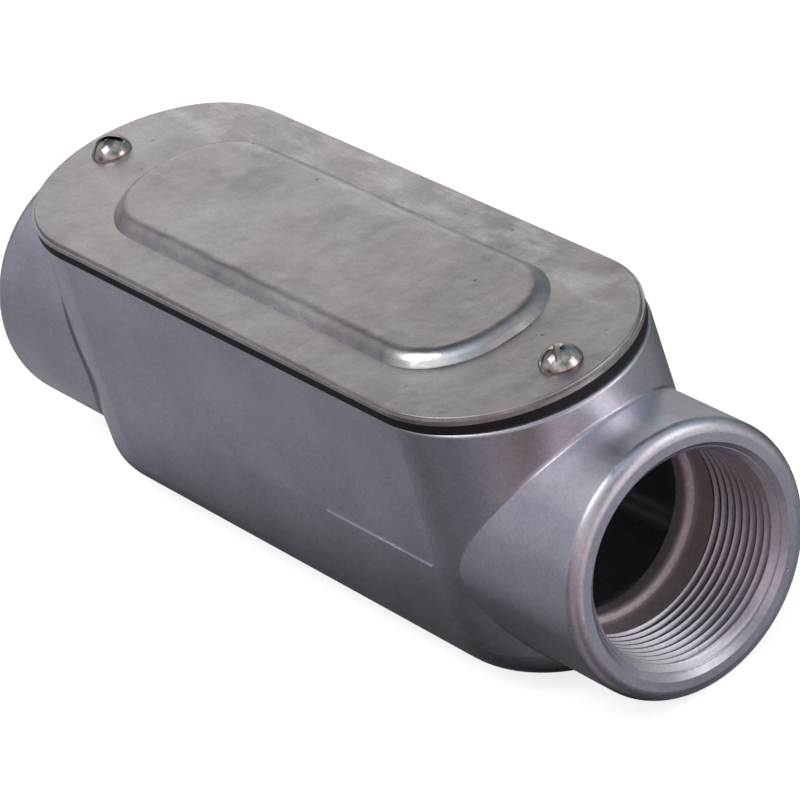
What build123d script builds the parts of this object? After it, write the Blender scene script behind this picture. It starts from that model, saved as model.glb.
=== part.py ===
from build123d import *
import os

# A cast aluminium conduit body with a threaded hub at each end, its gasket, domed cover and two screws.
# Millimetres. X runs along both hubs, +Z points out through the cover, and Z = 0 is the hubs' lowest line.

# Hubs, two round bosses bored for a 1-1/2 inch taper pipe thread
hub_diameter = 58.5
overall_length = 211.0
hub_reach = 14.7
hub_mouth_rounding = 2.6
thread_root_diameter = 47.2
thread_length = 20.5
thread_height = 1.85
entry_width = 1.1
bore_depth = 26.4
throat_step = 1.5
stop_lip_thickness = 5.0
hub_root_taper = 9.0
hub_root_drop = 3.2

# Body, an obround box that is widest at the hubs' axis
hub_side_margin = 0.8
hub_top_margin = 6.05
hub_bottom_margin = 2.35
draft_above = 1.1
draft_below = 0.8
belly_rounding = 8.5
rim_rounding = 0.8
crease_rounding = 0.9
wall = 3.2
floor_thickness = 3.4
chamber_draft = 0.6
chamber_corner = 4.0
chamber_floor_rounding = 4.5
parting_ridge_length = 37.0
parting_ridge_end_gap = 1.75
parting_ridge_height = 0.6
parting_ridge_width = 0.25

# Gasket, lying under the cover and shifted with it
gasket_thickness = 2.15
gasket_inset = 0.1
gasket_window_margin = 0.5

# Cover, a cast plate with a stepped edge and a raised hollow field, screwed on a little off centre
cover_shift = -0.95
cover_end_inset = 1.0
cover_side_inset = 0.05
cover_thickness = 1.6
cover_step_width = 0.55
cover_step_height = 1.0
cover_edge_rounding = 0.35
field_shift = 0.45
field_end_margin = 25.7
field_side_margin = 10.4
field_end_flat = 3.6
field_height = 2.4
field_slope_angle = 42.0
field_rounding = 4.0
field_skin = 1.9

# Cover screws, round heads with one slot
screw_end_margin = 10.2
screw_diameter = 4.8
screw_thread_gap = 0.05
screw_clearance_gap = 0.35
screw_engagement = 8.0
screw_hole_spare = 1.6
screw_tip_chamfer = 0.6
head_diameter = 9.1
head_height = 3.5
head_rim_height = 0.4
slot_width = 1.3
slot_depth = 1.5
slot_turn_left = 40.0
slot_turn_right = -35.6

# Sizes and places that follow from those above
hub_radius = hub_diameter / 2
thread_root_radius = thread_root_diameter / 2
cored_radius = thread_root_radius - thread_height
throat_radius = cored_radius - throat_step
body_length = overall_length - 2 * hub_reach
body_width = hub_diameter + 2 * hub_side_margin
rim_height = hub_radius + hub_top_margin
belly_depth = hub_radius - hub_bottom_margin
cover_length = body_length - 2 * cover_end_inset
cover_width = body_width - 2 * cover_side_inset
field_length = cover_length - 2 * field_end_margin
field_width = cover_width - 2 * field_side_margin
field_corner = (field_width - field_end_flat) / 2
screw_spacing = body_length - 2 * screw_end_margin
screw_reach = cover_thickness + gasket_thickness + screw_engagement
screw_x_left = cover_shift - screw_spacing / 2
screw_x_right = cover_shift + screw_spacing / 2
screw_places = [(screw_x_left, 0), (screw_x_right, 0)]

mouth_x = overall_length / 2
thread_end_x = mouth_x - thread_length
lip_outer_x = mouth_x - bore_depth
bulkhead_x = lip_outer_x - stop_lip_thickness
hub_root_x = (body_length - body_width) / 2
parting_ridge_x = hub_root_x - parting_ridge_end_gap - parting_ridge_length / 2
field_x = cover_shift + field_shift
rim_z = hub_radius + rim_height
belly_z = hub_radius - belly_depth
gasket_z = rim_z + gasket_thickness
cover_z = gasket_z + cover_thickness
hub_axis = Axis((0, 0, hub_radius), (1, 0, 0))
hub_plane = Plane(origin=(0, 0, hub_radius), x_dir=(1, 0, 0), z_dir=(0, -1, 0))

os.makedirs("parts", exist_ok=True)

# The chamber's plan, the body's outline less its wall, cut straight at the two bulkheads
with BuildSketch() as chamber_plan:
    SlotOverall(body_length - 2 * wall, body_width - 2 * wall)
    Rectangle(2 * bulkhead_x, body_width, mode=Mode.INTERSECT)
    plan_ends = chamber_plan.vertices().group_by(Axis.X)
    fillet(plan_ends[0] + plan_ends[-1], chamber_corner)

# Housing, one casting
with BuildPart() as housing:
    # The box below the hubs' axis, with its rounded belly
    with BuildSketch(Plane(origin=(0, 0, hub_radius), z_dir=(0, 0, -1))):
        SlotOverall(body_length, body_width)
    extrude(amount=belly_depth, taper=draft_below)
    fillet(housing.faces().sort_by(Axis.Z)[0].edges(), belly_rounding)

    # The box above the axis, up to the gasket's rim
    with BuildSketch(Plane.XY.offset(hub_radius)):
        SlotOverall(body_length, body_width)
    extrude(amount=rim_height, taper=draft_above)
    fillet(housing.faces().sort_by(Axis.Z)[-1].edges(), rim_rounding)

    # Both hubs, turned about the axis, each with a root that fades out under the belly
    with BuildSketch(hub_plane) as hub_profile:
        with BuildLine():
            Polyline(
                (hub_root_x - hub_root_taper, 0),
                (hub_root_x - hub_root_taper, hub_radius - hub_root_drop),
                (hub_root_x, hub_radius),
                (mouth_x, hub_radius),
                (mouth_x, 0),
                close=True,
            )
        make_face()
        mouth_corner = hub_profile.vertices().group_by(Axis.X)[-1].sort_by(Axis.Y)[-1]
        fillet(mouth_corner, hub_mouth_rounding)
        mirror(about=Plane.YZ)
    revolve(axis=hub_axis)
    fillet(housing.edges(Select.NEW), crease_rounding)

    # What is left of the mould's parting line, a short ridge on both sides
    with BuildSketch(Plane.XY.offset(hub_radius - parting_ridge_height / 2)):
        with Locations((parting_ridge_x, 0)):
            Rectangle(parting_ridge_length, body_width + 2 * parting_ridge_width)
    extrude(amount=parting_ridge_height)

    # The wire chamber
    with BuildSketch(Plane(origin=(0, 0, rim_z), x_dir=(1, 0, 0), z_dir=(0, 0, -1))):
        add(chamber_plan.sketch)
    extrude(
        amount=rim_z - belly_z - floor_thickness,
        taper=chamber_draft,
        mode=Mode.SUBTRACT,
    )
    chamber_floor = housing.faces().filter_by(Axis.Z).sort_by(Axis.Z)[1]
    fillet(chamber_floor.edges(), chamber_floor_rounding)

    # Each hub's bore from its mouth inwards: entry chamfer, thread, plain cored stretch,
    # rounded stop lip, throat, and the throat's bell towards the chamber
    with BuildSketch(hub_plane):
        with BuildLine():
            threaded = Polyline(
                (bulkhead_x - chamber_corner, 0),
                (mouth_x, 0),
                (mouth_x, thread_root_radius + entry_width),
                (mouth_x - entry_width, thread_root_radius),
                (thread_end_x, thread_root_radius),
                (thread_end_x, cored_radius),
                (lip_outer_x, cored_radius),
            )
            lip = JernArc(threaded @ 1, (0, -1), throat_step, -90)
            throat = Line(lip @ 1, (bulkhead_x + throat_step, throat_radius))
            bell = JernArc(throat @ 1, (-1, 0), throat_step, -90)
            Polyline(
                bell @ 1,
                (bulkhead_x - chamber_corner, cored_radius),
                threaded @ 0,
            )
        make_face()
        mirror(about=Plane.YZ)
    revolve(axis=hub_axis, mode=Mode.SUBTRACT)

    # Blind tapped holes for the cover screws, in the metal above the bores
    with BuildSketch(Plane.XY.offset(rim_z)):
        with Locations(screw_places):
            Circle(screw_diameter / 2 + screw_thread_gap)
    extrude(amount=-(screw_engagement + screw_hole_spare), mode=Mode.SUBTRACT)

housing.part.label = "housing"
export_step(housing.part, "parts/housing.step")

# Gasket, a flat ring with the chamber's window and two screw holes
with BuildPart() as gasket:
    with BuildSketch(Plane.XY.offset(rim_z)):
        with Locations((cover_shift, 0)):
            SlotOverall(cover_length - 2 * gasket_inset, cover_width - 2 * gasket_inset)
        offset(chamber_plan.sketch, amount=gasket_window_margin, mode=Mode.SUBTRACT)
        with Locations(screw_places):
            Circle(screw_diameter / 2 + screw_clearance_gap, mode=Mode.SUBTRACT)
    extrude(amount=gasket_thickness)

gasket.part.label = "gasket"
export_step(gasket.part, "parts/gasket.step")

# Cover, a plate with a step round its edge and a raised field that is hollow below
with BuildPart() as cover:
    with BuildSketch(Plane.XY.offset(gasket_z)):
        with Locations((cover_shift, 0)):
            SlotOverall(cover_length, cover_width)
    extrude(amount=cover_step_height)
    with BuildSketch(Plane.XY.offset(gasket_z)):
        with Locations((cover_shift, 0)):
            SlotOverall(cover_length - 2 * cover_step_width, cover_width - 2 * cover_step_width)
    extrude(amount=cover_thickness)
    fillet(cover.faces().sort_by(Axis.Z)[-1].edges(), cover_edge_rounding)
    with BuildSketch(Plane.XY.offset(cover_z)):
        with Locations((field_x, 0)):
            RectangleRounded(field_length, field_width, field_corner)
    extrude(amount=field_height, taper=field_slope_angle)
    fillet(cover.faces().sort_by(Axis.Z)[-1].edges(), field_rounding)
    with BuildSketch(Plane.XY.offset(gasket_z)):
        with Locations((field_x, 0)):
            RectangleRounded(
                field_length - 2 * field_skin,
                field_width - 2 * field_skin,
                field_corner - field_skin,
            )
    extrude(
        amount=cover_thickness + field_height - field_skin,
        taper=field_slope_angle,
        mode=Mode.SUBTRACT,
    )
    with BuildSketch(Plane.XY.offset(gasket_z)):
        with Locations(screw_places):
            Circle(screw_diameter / 2 + screw_clearance_gap)
    extrude(amount=cover_thickness, mode=Mode.SUBTRACT)

cover.part.label = "cover"
export_step(cover.part, "parts/cover.step")

# Cover screws, turned in one piece and slotted
for screw_x, slot_turn, name in (
    (screw_x_left, slot_turn_left, "cover_screw_left"),
    (screw_x_right, slot_turn_right, "cover_screw_right"),
):
    seat = Plane(origin=(screw_x, 0, cover_z), x_dir=(1, 0, 0), z_dir=(0, -1, 0))
    with BuildPart() as screw:
        with BuildSketch(seat):
            with BuildLine():
                dome = TangentArc(
                    (0, head_height),
                    (head_diameter / 2, head_rim_height),
                    tangent=(1, 0),
                )
                Polyline(
                    dome @ 1,
                    (head_diameter / 2, 0),
                    (screw_diameter / 2, 0),
                    (screw_diameter / 2, screw_tip_chamfer - screw_reach),
                    (screw_diameter / 2 - screw_tip_chamfer, -screw_reach),
                    (0, -screw_reach),
                    dome @ 0,
                )
            make_face()
        revolve(axis=Axis((screw_x, 0, 0), (0, 0, 1)))
        with BuildSketch(Plane.XY.offset(cover_z + head_height)):
            with Locations(Location((screw_x, 0, 0), (0, 0, slot_turn))):
                Rectangle(head_diameter * 2, slot_width)
        extrude(amount=-slot_depth, mode=Mode.SUBTRACT)
    screw.part.label = name
    export_step(screw.part, f"parts/{name}.step")
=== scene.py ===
import math
import bmesh
import bpy
from mathutils import Matrix, Vector


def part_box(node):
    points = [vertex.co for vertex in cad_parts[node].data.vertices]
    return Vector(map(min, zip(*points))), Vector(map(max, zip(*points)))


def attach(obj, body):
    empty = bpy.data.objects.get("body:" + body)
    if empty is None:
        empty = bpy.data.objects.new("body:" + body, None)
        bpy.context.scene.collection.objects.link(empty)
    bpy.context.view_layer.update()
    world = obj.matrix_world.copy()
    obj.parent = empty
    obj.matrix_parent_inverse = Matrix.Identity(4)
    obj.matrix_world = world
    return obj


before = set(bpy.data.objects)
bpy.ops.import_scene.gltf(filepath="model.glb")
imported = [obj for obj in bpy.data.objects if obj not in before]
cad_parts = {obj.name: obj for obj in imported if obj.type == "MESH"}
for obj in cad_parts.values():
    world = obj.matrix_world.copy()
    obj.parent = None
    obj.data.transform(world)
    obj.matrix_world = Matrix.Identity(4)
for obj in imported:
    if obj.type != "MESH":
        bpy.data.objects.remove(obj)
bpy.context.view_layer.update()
scene = bpy.context.scene

# Housing: one die casting with the obround box, both threaded hubs and the wire chamber.
# A380 aluminium, trimmed, then tumbled in fine media until it is evenly satin. It is screwed
# onto the conduits by its two hubs.


def linear(hex_colour):
    """An sRGB hex colour as linear red, green and blue with full alpha."""
    parts = [int(hex_colour[i:i + 2], 16) / 255 for i in (1, 3, 5)]
    return [c / 12.92 if c <= 0.04045 else ((c + 0.055) / 1.055) ** 2.4 for c in parts] + [1.0]


def add_node(tree, kind, inputs=None, **settings):
    """Adds one node with its settings. An input is either a value or the socket that feeds it."""
    made = tree.nodes.new(kind)
    for name, value in settings.items():
        setattr(made, name, value)
    for name, value in (inputs or {}).items():
        if isinstance(value, bpy.types.NodeSocket):
            tree.links.new(value, made.inputs[name])
        else:
            made.inputs[name].default_value = value
    return made


def per_mm(size):
    """A pattern's scale, in metres of object space, for features this many millimetres wide."""
    return 1000 / size


def new_material(name):
    """A material with an empty node tree, and that tree."""
    material = bpy.data.materials.new(name)
    material.use_nodes = True
    material.node_tree.nodes.clear()
    return material, material.node_tree


hub_axis_z = 0.02925
end_centre_x = 0.06075
crease_hub_radius = 0.02933
crease_hub_dark = 0.00014
crease_hub_clear = 0.00034
crease_box_radius = 0.02985
crease_box_dark = 0.0005
crease_box_clear = 0.0008
crease_start_x = -0.03
chamber_radius = 0.0273
chamber_half_length = 0.0742
chamber_middle_z = 0.035
chamber_half_height = 0.0295
cored_middle_x = 0.0785
cored_half_length = 0.0068
cored_radius = 0.0233

# Tumbled A380 aluminium: a grey metal with a slight violet cast, satin, so that it shows the
# lights as soft bands. The tumbling leaves a fine grain and a few pits, and the die some clouding.
# The grain is drawn at 0.8 mm, coarser than the real one, so that it shows.
casting, tree = new_material("tumbled_aluminium_casting")
place = add_node(tree, "ShaderNodeTexCoord").outputs["Object"]
cloud = add_node(tree, "ShaderNodeTexNoise", {
    "Vector": place, "Scale": per_mm(24), "Detail": 5.0, "Roughness": 0.62,
})
tone = add_node(tree, "ShaderNodeMapRange", {
    "Value": cloud.outputs["Fac"], "From Min": 0.35, "From Max": 0.65,
})
tint = add_node(tree, "ShaderNodeMix", {
    "Factor": tone.outputs["Result"], 6: linear("#dedae7"), 7: linear("#efecf6"),
}, data_type="RGBA")
# the satin varies a little, in faint streaks along the box
streak_place = add_node(tree, "ShaderNodeMapping", {"Vector": place, "Scale": (0.10, 1.0, 1.0)})
streaks = add_node(tree, "ShaderNodeTexNoise", {
    "Vector": streak_place.outputs["Vector"], "Scale": per_mm(0.9), "Detail": 3.0, "Roughness": 0.7,
})
satin = add_node(tree, "ShaderNodeMapRange", {
    "Value": streaks.outputs["Fac"], "From Min": 0.3, "From Max": 0.7, "To Min": 0.30, "To Max": 0.38,
})
grain = add_node(tree, "ShaderNodeTexNoise", {
    "Vector": place, "Scale": per_mm(0.8), "Detail": 3.0, "Roughness": 0.7,
})
grain_bump = add_node(tree, "ShaderNodeBump", {
    "Height": grain.outputs["Fac"], "Strength": 1.0, "Distance": 0.000012,
})
grain_tone = add_node(tree, "ShaderNodeMapRange", {
    "Value": grain.outputs["Fac"], "From Min": 0.3, "From Max": 0.7, "To Min": 0.87, "To Max": 1.08,
})
axes = add_node(tree, "ShaderNodeSeparateXYZ", {"Vector": place})
# how far a place is from the box's middle plane, measured round its ends, and from the hubs' axis
half_x = add_node(tree, "ShaderNodeMath", {0: axes.outputs["X"]}, operation="ABSOLUTE")
past_centre = add_node(tree, "ShaderNodeMath", {
    0: half_x.outputs["Value"], 1: end_centre_x,
}, operation="SUBTRACT")
past_end = add_node(tree, "ShaderNodeMath", {0: past_centre.outputs["Value"], 1: 0.0}, operation="MAXIMUM")
plan = add_node(tree, "ShaderNodeCombineXYZ", {"X": past_end.outputs["Value"], "Y": axes.outputs["Y"]})
plan_radius = add_node(tree, "ShaderNodeVectorMath", {0: plan.outputs["Vector"]}, operation="LENGTH")
above_axis = add_node(tree, "ShaderNodeMath", {0: axes.outputs["Z"], 1: hub_axis_z}, operation="SUBTRACT")
section = add_node(tree, "ShaderNodeCombineXYZ", {"Y": axes.outputs["Y"], "Z": above_axis.outputs["Value"]})
axis_radius = add_node(tree, "ShaderNodeVectorMath", {0: section.outputs["Vector"]}, operation="LENGTH")
# painted shade: a dark line along the left hub's crease, where the crevice's shade falls
off_hub = add_node(tree, "ShaderNodeMath", {
    0: axis_radius.outputs["Value"], 1: crease_hub_radius,
}, operation="SUBTRACT")
off_hub_size = add_node(tree, "ShaderNodeMath", {0: off_hub.outputs["Value"]}, operation="ABSOLUTE")
near_hub = add_node(tree, "ShaderNodeMapRange", {
    "Value": off_hub_size.outputs["Value"], "From Min": crease_hub_dark, "From Max": crease_hub_clear,
    "To Min": 1.0, "To Max": 0.0,
})
off_box = add_node(tree, "ShaderNodeMath", {
    0: plan_radius.outputs["Value"], 1: crease_box_radius,
}, operation="SUBTRACT")
off_box_size = add_node(tree, "ShaderNodeMath", {0: off_box.outputs["Value"]}, operation="ABSOLUTE")
near_box = add_node(tree, "ShaderNodeMapRange", {
    "Value": off_box_size.outputs["Value"], "From Min": crease_box_dark, "From Max": crease_box_clear,
    "To Min": 1.0, "To Max": 0.0,
})
crease = add_node(tree, "ShaderNodeMath", {
    0: near_hub.outputs["Result"], 1: near_box.outputs["Result"],
}, operation="MULTIPLY")
left_half = add_node(tree, "ShaderNodeMath", {
    0: axes.outputs["X"], 1: crease_start_x,
}, operation="LESS_THAN")
left_crease = add_node(tree, "ShaderNodeMath", {
    0: crease.outputs["Value"], 1: left_half.outputs["Value"],
}, operation="MULTIPLY")
# painted shade: the crease is darkened to 0.4 of its tone
painted_crease_shade = add_node(tree, "ShaderNodeMapRange", {
    "Value": left_crease.outputs["Value"], "To Min": 1.0, "To Max": 0.4,
})
# the chamber's walls stay as cast; they are darkened as painted shade, for the shade deep inside the box
chamber_plan = add_node(tree, "ShaderNodeMath", {
    0: plan_radius.outputs["Value"], 1: chamber_radius,
}, operation="LESS_THAN")
chamber_x = add_node(tree, "ShaderNodeMath", {
    0: half_x.outputs["Value"], 1: chamber_half_length,
}, operation="LESS_THAN")
chamber_z = add_node(tree, "ShaderNodeMath", {
    0: axes.outputs["Z"], 1: chamber_middle_z, 2: chamber_half_height,
}, operation="COMPARE")
chamber_xy = add_node(tree, "ShaderNodeMath", {
    0: chamber_x.outputs["Value"], 1: chamber_plan.outputs["Value"],
}, operation="MULTIPLY")
chamber = add_node(tree, "ShaderNodeMath", {
    0: chamber_xy.outputs["Value"], 1: chamber_z.outputs["Value"],
}, operation="MULTIPLY")
painted_chamber_shade = add_node(tree, "ShaderNodeMapRange", {
    "Value": chamber.outputs["Value"], "To Min": 1.0, "To Max": 0.74,
})
# the cored stretch and the stop lip behind each thread are as cast too, so they are duller
behind_thread = add_node(tree, "ShaderNodeMath", {
    0: half_x.outputs["Value"], 1: cored_middle_x, 2: cored_half_length,
}, operation="COMPARE")
in_bore = add_node(tree, "ShaderNodeMath", {
    0: axis_radius.outputs["Value"], 1: cored_radius,
}, operation="LESS_THAN")
as_cast_and_painted_light = add_node(tree, "ShaderNodeMath", {
    0: behind_thread.outputs["Value"], 1: in_bore.outputs["Value"],
}, operation="MULTIPLY")
dull = add_node(tree, "ShaderNodeMath", {
    0: as_cast_and_painted_light.outputs["Value"], 1: 0.3, 2: satin.outputs["Result"],
}, operation="MULTIPLY_ADD")
# the grain's tone, darkened by the painted shade in the left crease
grain_and_crease_shade = add_node(tree, "ShaderNodeMath", {
    0: painted_crease_shade.outputs["Result"], 1: grain_tone.outputs["Result"],
}, operation="MULTIPLY")
# and by the painted shade in the chamber
grey = add_node(tree, "ShaderNodeMath", {
    0: grain_and_crease_shade.outputs["Value"], 1: painted_chamber_shade.outputs["Result"],
}, operation="MULTIPLY")
# painted light: the as-cast stretch's tint is lightened and warmed for the light that reaches the lip,
# partly a warmer as-cast tone
painted_light_bore_tint = add_node(tree, "ShaderNodeMix", {
    "Factor": as_cast_and_painted_light.outputs["Value"], 6: tint.outputs[2], 7: linear("#f4ebf0"),
}, data_type="RGBA")
surface_tint = add_node(tree, "ShaderNodeVectorMath", {
    0: painted_light_bore_tint.outputs[2], "Scale": grey.outputs["Value"],
}, operation="SCALE")
pit_cells = add_node(tree, "ShaderNodeTexVoronoi", {"Vector": place, "Scale": per_mm(6)})
pits = add_node(tree, "ShaderNodeMapRange", {
    "Value": pit_cells.outputs["Distance"], "From Min": 0.02, "From Max": 0.06,
})
pit_bump = add_node(tree, "ShaderNodeBump", {
    "Height": pits.outputs["Result"], "Strength": 0.6, "Distance": 0.00012,
    "Normal": grain_bump.outputs["Normal"],
})
metal = add_node(tree, "ShaderNodeBsdfPrincipled", {
    "Base Color": surface_tint.outputs["Vector"], "Metallic": 1.0, "Roughness": dull.outputs["Value"],
    "Normal": pit_bump.outputs["Normal"],
})
add_node(tree, "ShaderNodeOutputMaterial", {"Surface": metal.outputs["BSDF"]})
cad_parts["housing"].data.materials[0] = casting

# Threads: both hubs are tapped for 1-1/2 inch taper pipe thread, 11.5 threads to the inch.
# The tap cuts the bare casting, and the cored bore leaves the crests flatter towards the end.
# They are a sleeve in each bore here, because the housing's solid has a plain bore at their root.
thread_pitch = 0.0254 / 11.5
thread_start = 0.0013
thread_end = 0.0205
thread_taper = 1 / 32
thread_height = 0.8 * thread_pitch
thread_root = 0.0235
thread_wall = 0.02359
sleeve_skin = 0.00004
cored_mouth = 0.0219
cored_taper = 0.0125
entry_reach = 0.0247
root_flat = 0.03
flank_reach = 0.5 - root_flat
deepest_cut = 0.98
flank_steps = 6
around = 224
weld_distance = 0.000002
crisp_edge = math.radians(25)
housing_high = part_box("housing")[1]


def thread_radius(depth, turn):
    """Radius of the thread at a depth behind the hub's face, a part of a turn off the crest."""
    root = thread_root - thread_taper * depth
    flank = (flank_reach - abs(turn)) / flank_reach
    radius = root - thread_height * min(max(flank, 0.0), 1.0)
    radius = max(radius, cored_mouth - cored_taper * depth, entry_reach - depth)
    return min(radius, thread_wall - sleeve_skin)


def crest_flat(depth):
    """Half of the crest's flat, as a part of a turn, where the cored bore leaves it."""
    root = thread_root - thread_taper * depth
    cut = (root - cored_mouth + cored_taper * depth) / thread_height
    return flank_reach * (1 - min(cut, deepest_cut))


def thread_sleeve(name, side):
    """One hub's thread as a closed sleeve, its rows laid along the helix so that the crests stay crisp."""
    rows = []
    for n in range(-2, math.ceil(thread_end / thread_pitch) + 3):
        rows += [(n, -1, s / flank_steps) for s in range(flank_steps + 1)]
        rows += [(n, 1, s / flank_steps) for s in range(flank_steps, -1, -1)]
    per_turn = 2 * flank_steps + 2
    points = []
    for i in range(around):
        angle = 2 * math.pi * i / around
        for n, half, step in rows:
            centre = (n - side * i / around) * thread_pitch
            flat = crest_flat(min(max(centre, 0.0), thread_end))
            turn = flank_reach * (1 - step) + flat * step
            depth = min(max(centre + half * turn * thread_pitch, thread_start), thread_end)
            offset = (depth / thread_pitch + side * i / around + 0.5) % 1.0 - 0.5
            radius = thread_radius(depth, offset)
            points.append((depth, angle, radius))
    count = len(rows)
    faces = []
    for i in range(around):
        last = i == around - 1
        shift = -side * per_turn if last else 0
        nxt = (i + 1) % around * count
        for j in range(count - 1):
            if 0 <= j + shift < count - 1:
                faces.append((i * count + j, i * count + j + 1, nxt + j + 1 + shift, nxt + j + shift))
    # the outside and both ends, on the plain bore
    base = len(points)
    for i in range(around):
        angle = 2 * math.pi * i / around
        points.append((thread_start, angle, thread_wall))
        points.append((thread_end, angle, thread_wall))
    for i in range(around):
        nxt = (i + 1) % around
        faces.append((base + 2 * i, base + 2 * i + 1, base + 2 * nxt + 1, base + 2 * nxt))
        faces.append((i * count, base + 2 * i, base + 2 * nxt, nxt * count))
        faces.append((i * count + count - 1, nxt * count + count - 1, base + 2 * nxt + 1, base + 2 * i + 1))
    mesh = bpy.data.meshes.new(name)
    mesh.from_pydata([
        (side * (housing_high.x - depth), radius * math.cos(angle), hub_axis_z + radius * math.sin(angle))
        for depth, angle, radius in points
    ], [], faces)
    piece = bpy.data.objects.new(name, mesh)
    scene.collection.objects.link(piece)
    return piece


for side, name in ((1, "thread_right"), (-1, "thread_left")):
    thread = thread_sleeve(name, side)
    work = bmesh.new()
    work.from_mesh(thread.data)
    bmesh.ops.remove_doubles(work, verts=work.verts, dist=weld_distance)
    bmesh.ops.dissolve_degenerate(work, edges=work.edges, dist=weld_distance)
    bmesh.ops.recalc_face_normals(work, faces=work.faces)
    work.to_mesh(thread.data)
    work.free()
    for face in thread.data.polygons:
        face.use_smooth = True
    thread.data.set_sharp_from_angle(angle=crisp_edge)
    thread.data.materials.append(casting)
    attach(thread, "root")

# Gasket: a flat ring of chloroprene rubber, die-cut from sheet and pinched between rim and cover.
# Near black and dull, with the faint dust that such rubber picks up.
sheet_rubber, tree = new_material("die_cut_chloroprene_rubber")
place = add_node(tree, "ShaderNodeTexCoord").outputs["Object"]
dust = add_node(tree, "ShaderNodeTexNoise", {"Vector": place, "Scale": per_mm(1.5), "Detail": 4.0})
dust_tint = add_node(tree, "ShaderNodeMix", {
    "Factor": dust.outputs["Fac"], 6: linear("#0c0a0b"), 7: linear("#1e1a1b"),
}, data_type="RGBA")
dust_bump = add_node(tree, "ShaderNodeBump", {
    "Height": dust.outputs["Fac"], "Strength": 1.0, "Distance": 0.00003,
})
rubber = add_node(tree, "ShaderNodeBsdfPrincipled", {
    "Base Color": dust_tint.outputs[2], "Roughness": 0.6, "IOR": 1.52,
    "Normal": dust_bump.outputs["Normal"],
})
add_node(tree, "ShaderNodeOutputMaterial", {"Surface": rubber.outputs["BSDF"]})
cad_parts["gasket"].data.materials[0] = sheet_rubber

# Cover: a thin die casting with a stepped edge and a raised field, held by two screws.
# The same alloy as the housing, but tumbled alone in coarser media, so it is warmer and duller.
cover_half_length = 0.09
back_strip_start = 0.010
back_strip_end = 0.020
burnish_and_highlight_corner = (0.0565, -0.0135, 0.0692)
burnish_and_highlight_full = 0.005
burnish_and_highlight_clear = 0.012
slope_middle_z = 0.0694
slope_bright = 0.0008
slope_clear = 0.0012

# Matt tumbled aluminium: a warm grey, cloudy and smeared, that blurs the lights more than the
# housing does. Its grain is drawn at 0.6 mm, coarser than the real one, so that it shows.
tumbled_cover, tree = new_material("matt_aluminium_casting")
place = add_node(tree, "ShaderNodeTexCoord").outputs["Object"]
cloud = add_node(tree, "ShaderNodeTexNoise", {
    "Vector": place, "Scale": per_mm(22), "Detail": 7.0, "Roughness": 0.66,
})
cloud_tone = add_node(tree, "ShaderNodeMapRange", {
    "Value": cloud.outputs["Fac"], "From Min": 0.34, "From Max": 0.66,
})
cloud_tint = add_node(tree, "ShaderNodeMix", {
    "Factor": cloud_tone.outputs["Result"], 6: linear("#b9b2b3"), 7: linear("#ece5e6"),
}, data_type="RGBA")
blush = add_node(tree, "ShaderNodeTexNoise", {"Vector": place, "Scale": per_mm(30), "Detail": 3.0})
blush_tone = add_node(tree, "ShaderNodeMapRange", {
    "Value": blush.outputs["Fac"], "From Min": 0.5, "From Max": 0.72, "To Max": 0.6,
})
blush_tint = add_node(tree, "ShaderNodeMix", {
    "Factor": blush_tone.outputs["Result"], 6: cloud_tint.outputs[2], 7: linear("#e3d4d7"),
}, data_type="RGBA")
smear_place = add_node(tree, "ShaderNodeMapping", {
    "Vector": place, "Rotation": (0.0, 0.0, math.radians(4)), "Scale": (0.35, 1.0, 1.0),
})
smear = add_node(tree, "ShaderNodeTexNoise", {
    "Vector": smear_place.outputs["Vector"], "Scale": per_mm(6), "Detail": 6.0, "Roughness": 0.7,
})
smear_tone = add_node(tree, "ShaderNodeMapRange", {
    "Value": smear.outputs["Fac"], "From Min": 0.46, "From Max": 0.66, "To Max": 1.0,
})
# the smears lie thickest along the back edge
axes = add_node(tree, "ShaderNodeSeparateXYZ", {"Vector": place})
smear_share = add_node(tree, "ShaderNodeMapRange", {
    "Value": axes.outputs["Y"], "From Min": back_strip_start, "From Max": back_strip_end,
    "To Min": 0.22, "To Max": 0.85,
}, interpolation_type="SMOOTHSTEP")
smear_amount = add_node(tree, "ShaderNodeMath", {
    0: smear_tone.outputs["Result"], 1: smear_share.outputs["Result"],
}, operation="MULTIPLY")
smear_tint = add_node(tree, "ShaderNodeMix", {
    "Factor": smear_amount.outputs["Value"], 6: blush_tint.outputs[2], 7: linear("#fffbfb"),
}, data_type="RGBA")
# pits, small dark pores with soft edges
pore_cells = add_node(tree, "ShaderNodeTexVoronoi", {"Vector": place, "Scale": per_mm(9)})
pore = add_node(tree, "ShaderNodeMapRange", {
    "Value": pore_cells.outputs["Distance"], "From Min": 0.02, "From Max": 0.07,
    "To Min": 0.6, "To Max": 1.0,
})
grain = add_node(tree, "ShaderNodeTexNoise", {
    "Vector": place, "Scale": per_mm(0.6), "Detail": 3.0, "Roughness": 0.7,
})
grain_tone = add_node(tree, "ShaderNodeMapRange", {
    "Value": grain.outputs["Fac"], "From Min": 0.3, "From Max": 0.7, "To Min": 0.90, "To Max": 1.08,
})
# the cover's tone darkens towards the right end
right_end_tone = add_node(tree, "ShaderNodeMapRange", {
    "Value": axes.outputs["X"], "From Min": -cover_half_length, "From Max": cover_half_length,
    "To Min": 1.06, "To Max": 0.84,
})
grain_and_end_tone = add_node(tree, "ShaderNodeMath", {
    0: grain_tone.outputs["Result"], 1: right_end_tone.outputs["Result"],
}, operation="MULTIPLY")
pored = add_node(tree, "ShaderNodeMath", {
    0: grain_and_end_tone.outputs["Value"], 1: pore.outputs["Result"],
}, operation="MULTIPLY")
cover_tint = add_node(tree, "ShaderNodeVectorMath", {
    0: smear_tint.outputs[2], "Scale": pored.outputs["Value"],
}, operation="SCALE")
matt = add_node(tree, "ShaderNodeMapRange", {
    "Value": cloud.outputs["Fac"], "From Min": 0.35, "From Max": 0.65, "To Min": 0.30, "To Max": 0.42,
})
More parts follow.
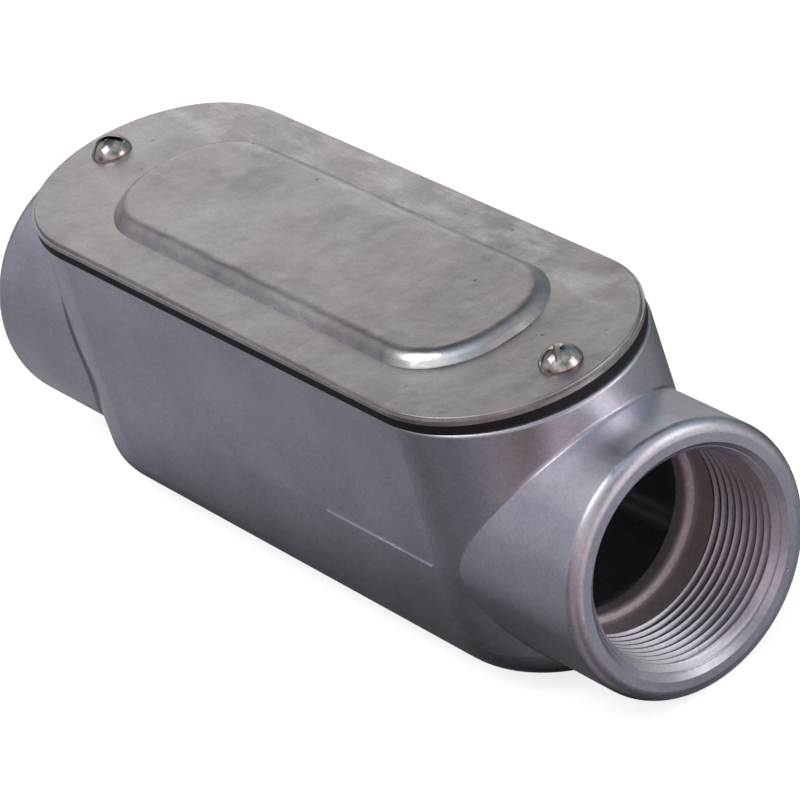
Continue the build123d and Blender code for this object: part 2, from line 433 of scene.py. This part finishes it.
# the slope at the field's front right corner is rubbed smoother, and a painted highlight lightens its tint
# there
from_corner = add_node(tree, "ShaderNodeVectorMath", {0: place, 1: burnish_and_highlight_corner}, operation="DISTANCE")
near_corner = add_node(tree, "ShaderNodeMapRange", {
    "Value": from_corner.outputs["Value"], "From Min": burnish_and_highlight_full, "From Max": burnish_and_highlight_clear,
    "To Min": 1.0, "To Max": 0.0,
}, interpolation_type="SMOOTHSTEP")
off_slope = add_node(tree, "ShaderNodeMath", {0: axes.outputs["Z"], 1: slope_middle_z}, operation="SUBTRACT")
off_slope_size = add_node(tree, "ShaderNodeMath", {0: off_slope.outputs["Value"]}, operation="ABSOLUTE")
on_slope = add_node(tree, "ShaderNodeMapRange", {
    "Value": off_slope_size.outputs["Value"], "From Min": slope_bright, "From Max": slope_clear,
    "To Min": 1.0, "To Max": 0.0,
})
burnish_and_painted_highlight = add_node(tree, "ShaderNodeMath", {
    0: near_corner.outputs["Result"], 1: on_slope.outputs["Result"],
}, operation="MULTIPLY")
# painted highlight: the tint near the corner is lightened to near white
painted_highlight_tint = add_node(tree, "ShaderNodeMix", {
    "Factor": burnish_and_painted_highlight.outputs["Value"], 6: cover_tint.outputs["Vector"], 7: linear("#fdfcfd"),
}, data_type="RGBA")
sheen = add_node(tree, "ShaderNodeMath", {
    0: burnish_and_painted_highlight.outputs["Value"], 1: -0.14, 2: matt.outputs["Result"],
}, operation="MULTIPLY_ADD")
grain_bump = add_node(tree, "ShaderNodeBump", {
    "Height": grain.outputs["Fac"], "Strength": 1.0, "Distance": 0.000016,
})
pore_bump = add_node(tree, "ShaderNodeBump", {
    "Height": pore.outputs["Result"], "Strength": 0.7, "Distance": 0.00015,
    "Normal": grain_bump.outputs["Normal"],
})
wave = add_node(tree, "ShaderNodeTexNoise", {
    "Vector": place, "Scale": per_mm(14), "Detail": 3.0, "Roughness": 0.5,
})
wave_bump = add_node(tree, "ShaderNodeBump", {
    "Height": wave.outputs["Fac"], "Strength": 1.0, "Distance": 0.0005,
    "Normal": pore_bump.outputs["Normal"],
})
metal = add_node(tree, "ShaderNodeBsdfPrincipled", {
    "Base Color": painted_highlight_tint.outputs[2], "Metallic": 1.0, "Roughness": sheen.outputs["Value"],
    "Normal": wave_bump.outputs["Normal"],
})
add_node(tree, "ShaderNodeOutputMaterial", {"Surface": metal.outputs["BSDF"]})
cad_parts["cover"].data.materials[0] = tumbled_cover

# Cover screws: two round-head machine screws of steel, cold headed, slotted and nickel plated.
# The plating is bright, so the heads mirror the lamps.
nickel, tree = new_material("bright_nickel_plate")
place = add_node(tree, "ShaderNodeTexCoord").outputs["Object"]
handling = add_node(tree, "ShaderNodeTexNoise", {"Vector": place, "Scale": per_mm(1.2), "Detail": 3.0})
gloss = add_node(tree, "ShaderNodeMapRange", {
    "Value": handling.outputs["Fac"], "From Min": 0.3, "From Max": 0.7, "To Min": 0.07, "To Max": 0.16,
})
dent_bump = add_node(tree, "ShaderNodeBump", {
    "Height": handling.outputs["Fac"], "Strength": 1.0, "Distance": 0.00003,
})
# tarnish in brown patches, and painted shade in the slot and where the head meets the cover, found by
# occlusion
patch = add_node(tree, "ShaderNodeTexNoise", {"Vector": place, "Scale": per_mm(2.6), "Detail": 3.0})
corner = add_node(tree, "ShaderNodeAmbientOcclusion", {"Distance": 0.0016}, samples=8)
painted_occlusion_shade = add_node(tree, "ShaderNodeMapRange", {
    "Value": corner.outputs["AO"], "From Min": 0.35, "From Max": 0.95, "To Min": 0.95, "To Max": 0.0,
})
patch_tone = add_node(tree, "ShaderNodeMapRange", {
    "Value": patch.outputs["Fac"], "From Min": 0.45, "From Max": 0.65, "To Max": 0.55,
})
tarnish_and_painted_shade = add_node(tree, "ShaderNodeMath", {
    0: painted_occlusion_shade.outputs["Result"], 1: patch_tone.outputs["Result"],
}, operation="MAXIMUM")
plate_tint = add_node(tree, "ShaderNodeMix", {
    "Factor": tarnish_and_painted_shade.outputs["Value"], 6: linear("#dfd8d4"), 7: linear("#54443e"),
}, data_type="RGBA")
metal = add_node(tree, "ShaderNodeBsdfPrincipled", {
    "Base Color": plate_tint.outputs[2], "Metallic": 1.0, "Roughness": gloss.outputs["Result"],
    "Normal": dent_bump.outputs["Normal"],
})
add_node(tree, "ShaderNodeOutputMaterial", {"Surface": metal.outputs["BSDF"]})
for name in ("cover_screw_left", "cover_screw_right"):
    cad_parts[name].data.materials[0] = nickel

# Floor: a plain sweep of matt white paper, which glows a little so that it stays white.
# It isn't part of the object, and the metal mirrors the light tent instead of it.
floor_reach = 6.0


def flat_square(name, height):
    """A level square, centred below the object, that reaches floor_reach to each side."""
    mesh = bpy.data.meshes.new(name)
    mesh.from_pydata([
        (-floor_reach, -floor_reach, height), (floor_reach, -floor_reach, height),
        (floor_reach, floor_reach, height), (-floor_reach, floor_reach, height),
    ], [], [(0, 1, 2, 3)])
    square = bpy.data.objects.new(name, mesh)
    scene.collection.objects.link(square)
    return square


floor = flat_square("floor", 0.0)
floor.visible_glossy = False
floor.visible_diffuse = False
floor.visible_shadow = False
sweep, tree = new_material("matt_white_sweep")
paper = add_node(tree, "ShaderNodeBsdfPrincipled", {
    "Base Color": linear("#f4f4f4"), "Roughness": 1.0,
    "Emission Color": linear("#ffffff"), "Emission Strength": 0.75,
})
add_node(tree, "ShaderNodeOutputMaterial", {"Surface": paper.outputs["BSDF"]})
floor.data.materials.append(sweep)

# Contact shade: how much darker the sweep looks close to the object, as the metal mirrors it.
# It is only a filter, clear far off, and the camera doesn't see it.
shade_depth = 0.0002
shade_turn = math.radians(-6)
shade_half_length = 0.055
shade_dark_reach = 0.034
shade_clear_reach = 0.064
shade = flat_square("contact_shade", -shade_depth)
shade.visible_camera = False
shade.rotation_euler.z = shade_turn
filter_paper, tree = new_material("contact_shade_filter")
place = add_node(tree, "ShaderNodeTexCoord").outputs["Object"]
axes = add_node(tree, "ShaderNodeSeparateXYZ", {"Vector": place})
half_x = add_node(tree, "ShaderNodeMath", {0: axes.outputs["X"]}, operation="ABSOLUTE")
past_end = add_node(tree, "ShaderNodeMath", {
    0: half_x.outputs["Value"], 1: shade_half_length,
}, operation="SUBTRACT")
beyond = add_node(tree, "ShaderNodeMath", {0: past_end.outputs["Value"], 1: 0.0}, operation="MAXIMUM")
off_axis = add_node(tree, "ShaderNodeCombineXYZ", {"X": beyond.outputs["Value"], "Y": axes.outputs["Y"]})
away = add_node(tree, "ShaderNodeVectorMath", {0: off_axis.outputs["Vector"]}, operation="LENGTH")
clear = add_node(tree, "ShaderNodeMapRange", {
    "Value": away.outputs["Value"], "From Min": shade_dark_reach, "From Max": shade_clear_reach,
    "To Min": 0.25, "To Max": 1.0,
}, interpolation_type="SMOOTHSTEP")
let_through = add_node(tree, "ShaderNodeBsdfTransparent", {"Color": clear.outputs["Result"]})
add_node(tree, "ShaderNodeOutputMaterial", {"Surface": let_through.outputs["BSDF"]})
shade.data.materials.append(filter_paper)

# Studio: a light tent of soft white panels, dark below, and three small softboxes.
# Each panel is its azimuth, elevation and spread in degrees, its colour and its strength.
# Each softbox is its direction, distance and size in metres, and how bright its face is.
panels = (
    (0, 90, 42, "#cedfff", 0.24),
    (-90, 50, 42, "#fff7f6", 0.46),
    (-45, 50, 42, "#edfffc", 0.28),
    (45, 50, 42, "#f8fcff", 0.36),
    (-160, 40, 24, "#f6f3ff", 0.42),
    (90, 25, 42, "#cff4ff", 0.25),
    (-130, 20, 24, "#edf0ff", 0.27),
    (-34, 20, 24, "#ffe3e8", 0.35),
    (-150, 0, 42, "#d7ebff", 0.10),
    (-120, 0, 42, "#fff2ee", 0.14),
    (-60, 0, 42, "#fff0f7", 0.26),
    (0, 0, 42, "#ffebeb", 0.46),
    (30, 0, 42, "#fefffb", 0.46),
    (60, 0, 42, "#ffe2dd", 0.15),
    (150, 0, 42, "#fffefe", 0.36),
    (180, -25, 42, "#fdf9ff", 0.30),
    (30, -25, 42, "#b3c3ff", 0.08),
    (-90, -50, 42, "#e7edff", 0.13),
    (-45, -50, 42, "#ffe3dc", 0.09),
    (90, -50, 42, "#f3faff", 0.22),
)
world = bpy.data.worlds.new("light_tent")
scene.world = world
world.use_nodes = True
tree = world.node_tree
tree.nodes.clear()
looking = add_node(tree, "ShaderNodeTexCoord").outputs["Generated"]
light = add_node(tree, "ShaderNodeRGB").outputs["Color"]
light.default_value = (0.0, 0.0, 0.0, 1.0)
for azimuth, elevation, spread, colour, strength in panels:
    flat = math.cos(math.radians(elevation))
    centre = (
        flat * math.cos(math.radians(azimuth)), flat * math.sin(math.radians(azimuth)),
        math.sin(math.radians(elevation)),
    )
    facing = add_node(tree, "ShaderNodeVectorMath", {0: looking, 1: centre}, operation="DOT_PRODUCT")
    glow = add_node(tree, "ShaderNodeMapRange", {
        "Value": facing.outputs["Value"], "From Min": math.cos(math.radians(spread)), "From Max": 1.0,
        "To Max": strength,
    }, interpolation_type="SMOOTHSTEP")
    lit = add_node(tree, "ShaderNodeVectorMath", {
        0: linear(colour)[:3], "Scale": glow.outputs["Result"],
    }, operation="SCALE")
    added = add_node(tree, "ShaderNodeVectorMath", {0: light, 1: lit.outputs["Vector"]}, operation="ADD")
    light = added.outputs["Vector"]
surround = add_node(tree, "ShaderNodeBackground", {"Color": light, "Strength": 1.0})
add_node(tree, "ShaderNodeOutputWorld", {"Surface": surround.outputs["Background"]})
object_middle = Vector((0, 0, 0.035))


def softbox(name, towards, distance, size, radiance):
    """A square area light that faces the object's middle."""
    lamp = bpy.data.lights.new(name, "AREA")
    lamp.shape = "SQUARE"
    lamp.size = size
    lamp.energy = radiance * math.pi * size * size
    fitting = bpy.data.objects.new(name, lamp)
    aim = Vector(towards).normalized()
    fitting.location = object_middle + aim * distance
    fitting.rotation_euler = aim.to_track_quat("Z", "Y").to_euler()
    scene.collection.objects.link(fitting)


softbox("key_softbox", (-0.176, -0.452, 0.875), 0.59, 0.3, 1.7)
softbox("back_softbox", (-0.75, 0.45, 0.5), 0.7, 0.4, 0.46)
softbox("fill_softbox", (0.785, 0.464, 0.41), 0.39, 0.18, 0.9)

# Camera: a long lens, as far off, as high and as tilted as the photograph's.
# It looks down along the box from the right end's front, and its image is shifted a little
# instead of cropped.
lens = bpy.data.cameras.new("camera")
lens.lens = 232.83
lens.sensor_width = 36.0
lens.shift_x = 0.0324
lens.shift_y = -0.0113
camera = bpy.data.objects.new("camera", lens)
right = Vector((0.58015, 0.76875, -0.26917))
up = Vector((-0.28881, 0.50315, 0.81451))
back = Vector((0.76158, -0.39480, 0.51393))
stand = Matrix((right, up, back)).transposed().to_4x4()
stand.translation = Vector((0.8268, -0.4282, 0.5906))
camera.matrix_world = stand
scene.collection.objects.link(camera)
scene.camera = camera
scene.view_settings.view_transform = "Standard"
